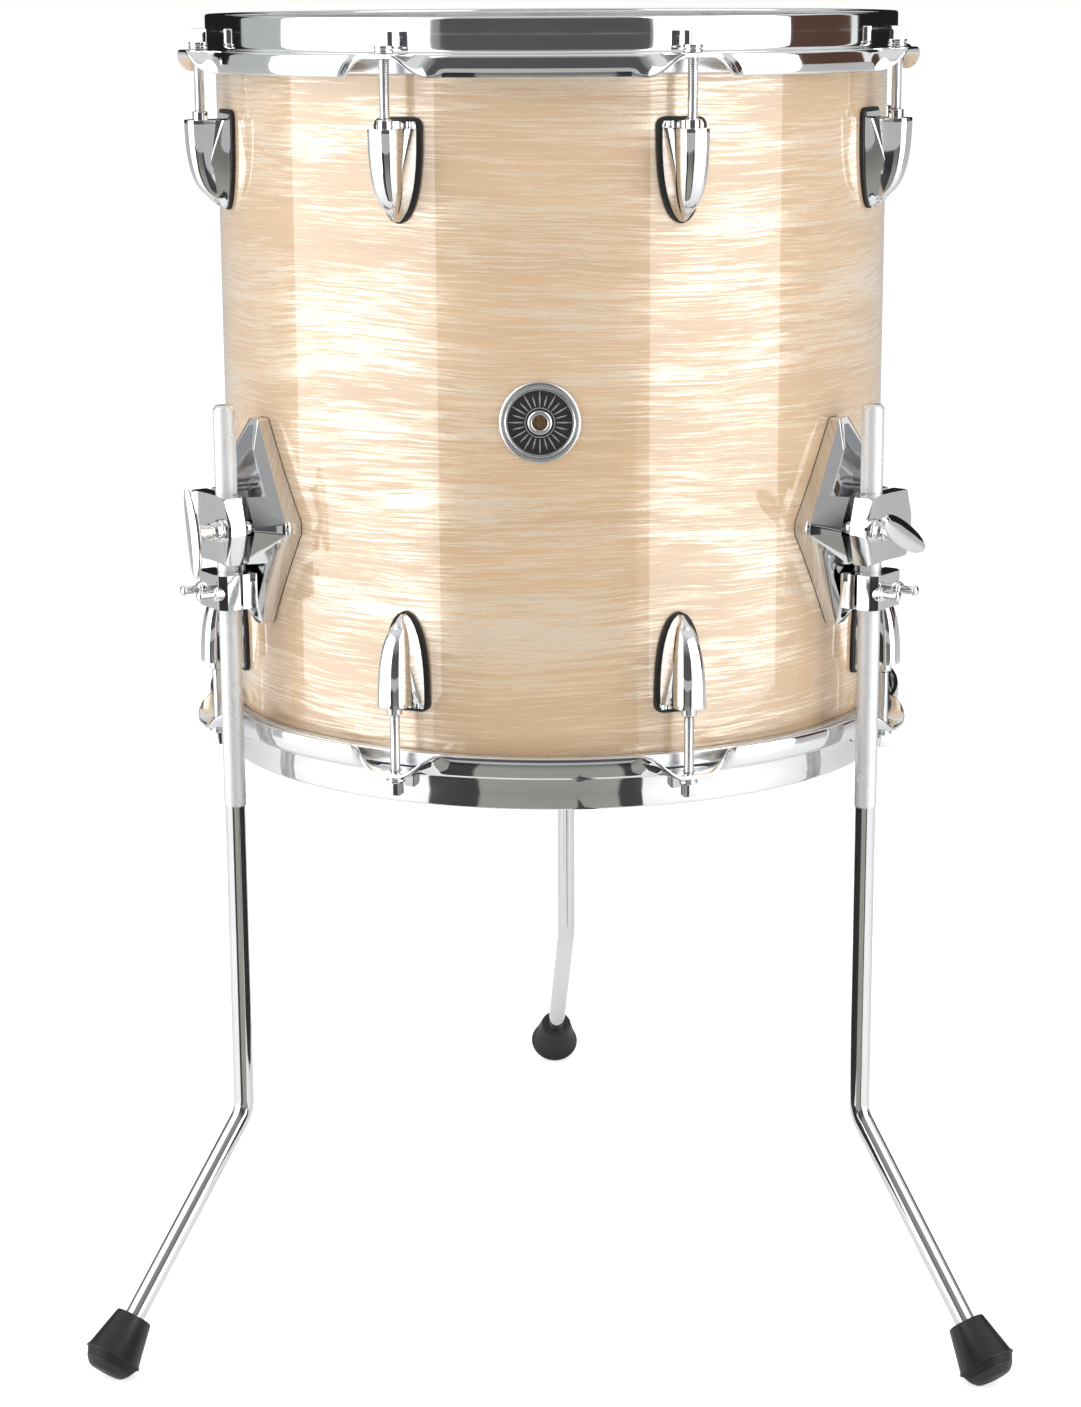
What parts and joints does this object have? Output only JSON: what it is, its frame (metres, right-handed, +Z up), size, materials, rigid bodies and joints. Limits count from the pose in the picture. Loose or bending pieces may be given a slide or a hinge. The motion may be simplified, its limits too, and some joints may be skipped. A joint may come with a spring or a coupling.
{
  "type": "floor tom",
  "caption": "Floor tom drum: a pearl-wrapped wooden shell with chrome hoops, lugs and tension rods, standing on bent adjustable legs with rubber feet.",
  "frame": {"origin": "on the floor, under the middle of the whole object's box", "axes": "+Z up along the drum's axis, -Y out of the front where the badge is, +X towards the right of someone facing the badge"},
  "size_m": [0.4818, 0.5194, 0.6932],
  "materials": {
    "shell_wood": "satin clear-coated maple inside",
    "pearl_wrap": "cream and tan streaked pearl, polished",
    "chrome": "bright polished plating",
    "aluminium": "plain rolled",
    "coated_film": "rough white coating on polyester film",
    "clear_film": "hazy clear polyester film",
    "badge_enamel": "black enamel in a polished metal rim",
    "rubber": "moulded black"
  },
  "bodies": {
    "root": {"shell": "shell_wood", "shell_wrap": "pearl_wrap", "badge": "badge_enamel", "vent_grommet": "chrome", "batter_head": "coated_film", "batter_flesh_hoop": "aluminium", "batter_lug_1": "chrome", "batter_lug_2": "chrome", "batter_lug_3": "chrome", "batter_lug_4": "chrome", "batter_lug_5": "chrome", "batter_lug_6": "chrome", "batter_lug_7": "chrome", "batter_lug_8": "chrome", "resonant_head": "clear_film", "resonant_flesh_hoop": "aluminium", "resonant_lug_1": "chrome", "resonant_lug_2": "chrome", "resonant_lug_3": "chrome", "resonant_lug_4": "chrome", "resonant_lug_5": "chrome", "resonant_lug_6": "chrome", "resonant_lug_7": "chrome", "resonant_lug_8": "chrome", "left_leg_bracket": "chrome", "right_leg_bracket": "chrome", "back_leg_bracket": "chrome"},
    "batter_hoop": {"batter_hoop": "chrome"},
    "batter_rod_1": {"batter_rod_1": "chrome"},
    "batter_rod_2": {"batter_rod_2": "chrome"},
    "batter_rod_3": {"batter_rod_3": "chrome"},
    "batter_rod_4": {"batter_rod_4": "chrome"},
    "batter_rod_5": {"batter_rod_5": "chrome"},
    "batter_rod_6": {"batter_rod_6": "chrome"},
    "batter_rod_7": {"batter_rod_7": "chrome"},
    "batter_rod_8": {"batter_rod_8": "chrome"},
    "resonant_hoop": {"resonant_hoop": "chrome"},
    "resonant_rod_1": {"resonant_rod_1": "chrome"},
    "resonant_rod_2": {"resonant_rod_2": "chrome"},
    "resonant_rod_3": {"resonant_rod_3": "chrome"},
    "resonant_rod_4": {"resonant_rod_4": "chrome"},
    "resonant_rod_5": {"resonant_rod_5": "chrome"},
    "resonant_rod_6": {"resonant_rod_6": "chrome"},
    "resonant_rod_7": {"resonant_rod_7": "chrome"},
    "resonant_rod_8": {"resonant_rod_8": "chrome"},
    "left_cap": {"left_bracket_cap": "chrome"},
    "left_wing": {"left_wing_bolt": "chrome"},
    "left_lock": {"left_leg_lock": "chrome"},
    "left_leg": {"left_leg": "chrome", "left_foot": "rubber"},
    "right_cap": {"right_bracket_cap": "chrome"},
    "right_wing": {"right_wing_bolt": "chrome"},
    "right_lock": {"right_leg_lock": "chrome"},
    "right_leg": {"right_leg": "chrome", "right_foot": "rubber"},
    "back_cap": {"back_bracket_cap": "chrome"},
    "back_wing": {"back_wing_bolt": "chrome"},
    "back_lock": {"back_leg_lock": "chrome"},
    "back_leg": {"back_leg": "chrome", "back_foot": "rubber"}
  },
  "joints": [
    {"name": "batter_hoop_lift", "type": "slide", "parent": "root", "child": "batter_hoop", "axis": [0, 0, 1], "range_m": [0, 0.00529]},
    {"name": "batter_rod_1_turn", "type": "hinge", "parent": "batter_hoop", "child": "batter_rod_1", "pos_m": [-0.07566, -0.22957, 0.677], "axis": [0, 0, 1], "range_deg": [0, 1800]},
    {"name": "batter_rod_2_turn", "type": "hinge", "parent": "batter_hoop", "child": "batter_rod_2", "pos_m": [0.07136, -0.22957, 0.677], "axis": [0, 0, 1], "range_deg": [0, 1800]},
    {"name": "batter_rod_3_turn", "type": "hinge", "parent": "batter_hoop", "child": "batter_rod_3", "pos_m": [0.17533, -0.1256, 0.677], "axis": [0, 0, 1], "range_deg": [0, 1800]},
    {"name": "batter_rod_4_turn", "type": "hinge", "parent": "batter_hoop", "child": "batter_rod_4", "pos_m": [0.17533, 0.02142, 0.677], "axis": [0, 0, 1], "range_deg": [0, 1800]},
    {"name": "batter_rod_5_turn", "type": "hinge", "parent": "batter_hoop", "child": "batter_rod_5", "pos_m": [0.07136, 0.12539, 0.677], "axis": [0, 0, 1], "range_deg": [0, 1800]},
    {"name": "batter_rod_6_turn", "type": "hinge", "parent": "batter_hoop", "child": "batter_rod_6", "pos_m": [-0.07566, 0.12539, 0.677], "axis": [0, 0, 1], "range_deg": [0, 1800]},
    {"name": "batter_rod_7_turn", "type": "hinge", "parent": "batter_hoop", "child": "batter_rod_7", "pos_m": [-0.17963, 0.02142, 0.677], "axis": [0, 0, 1], "range_deg": [0, 1800]},
    {"name": "batter_rod_8_turn", "type": "hinge", "parent": "batter_hoop", "child": "batter_rod_8", "pos_m": [-0.17963, -0.1256, 0.677], "axis": [0, 0, 1], "range_deg": [0, 1800]},
    {"name": "resonant_hoop_lift", "type": "slide", "parent": "root", "child": "resonant_hoop", "axis": [0, 0, -1], "range_m": [0, 0.00529]},
    {"name": "resonant_rod_1_turn", "type": "hinge", "parent": "resonant_hoop", "child": "resonant_rod_1", "pos_m": [-0.07566, -0.22957, 0.3214], "axis": [0, 0, -1], "range_deg": [0, 1800]},
    {"name": "resonant_rod_2_turn", "type": "hinge", "parent": "resonant_hoop", "child": "resonant_rod_2", "pos_m": [0.07136, -0.22957, 0.3214], "axis": [0, 0, -1], "range_deg": [0, 1800]},
    {"name": "resonant_rod_3_turn", "type": "hinge", "parent": "resonant_hoop", "child": "resonant_rod_3", "pos_m": [0.17533, -0.1256, 0.3214], "axis": [0, 0, -1], "range_deg": [0, 1800]},
    {"name": "resonant_rod_4_turn", "type": "hinge", "parent": "resonant_hoop", "child": "resonant_rod_4", "pos_m": [0.17533, 0.02142, 0.3214], "axis": [0, 0, -1], "range_deg": [0, 1800]},
    {"name": "resonant_rod_5_turn", "type": "hinge", "parent": "resonant_hoop", "child": "resonant_rod_5", "pos_m": [0.07136, 0.12539, 0.3214], "axis": [0, 0, -1], "range_deg": [0, 1800]},
    {"name": "resonant_rod_6_turn", "type": "hinge", "parent": "resonant_hoop", "child": "resonant_rod_6", "pos_m": [-0.07566, 0.12539, 0.3214], "axis": [0, 0, -1], "range_deg": [0, 1800]},
    {"name": "resonant_rod_7_turn", "type": "hinge", "parent": "resonant_hoop", "child": "resonant_rod_7", "pos_m": [-0.17963, 0.02142, 0.3214], "axis": [0, 0, -1], "range_deg": [0, 1800]},
    {"name": "resonant_rod_8_turn", "type": "hinge", "parent": "resonant_hoop", "child": "resonant_rod_8", "pos_m": [-0.17963, -0.1256, 0.3214], "axis": [0, 0, -1], "range_deg": [0, 1800]},
    {"name": "left_cap_slide", "type": "slide", "parent": "root", "child": "left_cap", "axis": [-0.8131, -0.5821, 0], "range_m": [0, 0.00187]},
    {"name": "left_wing_turn", "type": "hinge", "parent": "left_cap", "child": "left_wing", "pos_m": [-0.17335, -0.19261, 0.4385], "axis": [-0.8131, -0.5821, 0], "range_deg": [0, 540]},
    {"name": "left_leg_slide", "type": "slide", "parent": "root", "child": "left_lock", "axis": [0, 0, -1], "range_m": [0, 0.045]},
    {"name": "left_leg_turn", "type": "hinge", "parent": "left_lock", "child": "left_leg", "pos_m": [-0.16558, -0.1691, 0.4385], "axis": [0, 0, 1], "continuous": true},
    {"name": "right_cap_slide", "type": "slide", "parent": "root", "child": "right_cap", "axis": [0.8271, -0.5621, 0], "range_m": [0, 0.00187]},
    {"name": "right_wing_turn", "type": "hinge", "parent": "right_cap", "child": "right_wing", "pos_m": [0.17243, -0.18838, 0.4385], "axis": [0.8271, -0.5621, 0], "range_deg": [0, 540]},
    {"name": "right_leg_slide", "type": "slide", "parent": "root", "child": "right_lock", "axis": [0, 0, -1], "range_m": [0, 0.045]},
    {"name": "right_leg_turn", "type": "hinge", "parent": "right_lock", "child": "right_leg", "pos_m": [0.16409, -0.16507, 0.4385], "axis": [0, 0, 1], "continuous": true},
    {"name": "back_cap_slide", "type": "slide", "parent": "root", "child": "back_cap", "axis": [0, 1, 0], "range_m": [0, 0.00187]},
    {"name": "back_wing_turn", "type": "hinge", "parent": "back_cap", "child": "back_wing", "pos_m": [-0.01675, 0.16891, 0.4385], "axis": [0, 1, 0], "range_deg": [0, 540]},
    {"name": "back_leg_slide", "type": "slide", "parent": "root", "child": "back_lock", "axis": [0, 0, -1], "range_m": [0, 0.045]},
    {"name": "back_leg_turn", "type": "hinge", "parent": "back_lock", "child": "back_leg", "pos_m": [-0.00215, 0.14891, 0.4385], "axis": [0, 0, 1], "continuous": true}
  ],
  "couplings": [
    {"joint": "batter_rod_1_turn", "follows": "batter_hoop_lift", "rad_per_m": 5936.9},
    {"joint": "batter_rod_2_turn", "follows": "batter_hoop_lift", "rad_per_m": 5936.9},
    {"joint": "batter_rod_3_turn", "follows": "batter_hoop_lift", "rad_per_m": 5936.9},
    {"joint": "batter_rod_4_turn", "follows": "batter_hoop_lift", "rad_per_m": 5936.9},
    {"joint": "batter_rod_5_turn", "follows": "batter_hoop_lift", "rad_per_m": 5936.9},
    {"joint": "batter_rod_6_turn", "follows": "batter_hoop_lift", "rad_per_m": 5936.9},
    {"joint": "batter_rod_7_turn", "follows": "batter_hoop_lift", "rad_per_m": 5936.9},
    {"joint": "batter_rod_8_turn", "follows": "batter_hoop_lift", "rad_per_m": 5936.9},
    {"joint": "resonant_rod_1_turn", "follows": "resonant_hoop_lift", "rad_per_m": 5936.9},
    {"joint": "resonant_rod_2_turn", "follows": "resonant_hoop_lift", "rad_per_m": 5936.9},
    {"joint": "resonant_rod_3_turn", "follows": "resonant_hoop_lift", "rad_per_m": 5936.9},
    {"joint": "resonant_rod_4_turn", "follows": "resonant_hoop_lift", "rad_per_m": 5936.9},
    {"joint": "resonant_rod_5_turn", "follows": "resonant_hoop_lift", "rad_per_m": 5936.9},
    {"joint": "resonant_rod_6_turn", "follows": "resonant_hoop_lift", "rad_per_m": 5936.9},
    {"joint": "resonant_rod_7_turn", "follows": "resonant_hoop_lift", "rad_per_m": 5936.9},
    {"joint": "resonant_rod_8_turn", "follows": "resonant_hoop_lift", "rad_per_m": 5936.9},
    {"joint": "left_wing_turn", "follows": "left_cap_slide", "rad_per_m": 5026.5},
    {"joint": "right_wing_turn", "follows": "right_cap_slide", "rad_per_m": 5026.5},
    {"joint": "back_wing_turn", "follows": "back_cap_slide", "rad_per_m": 5026.5}
  ]
}
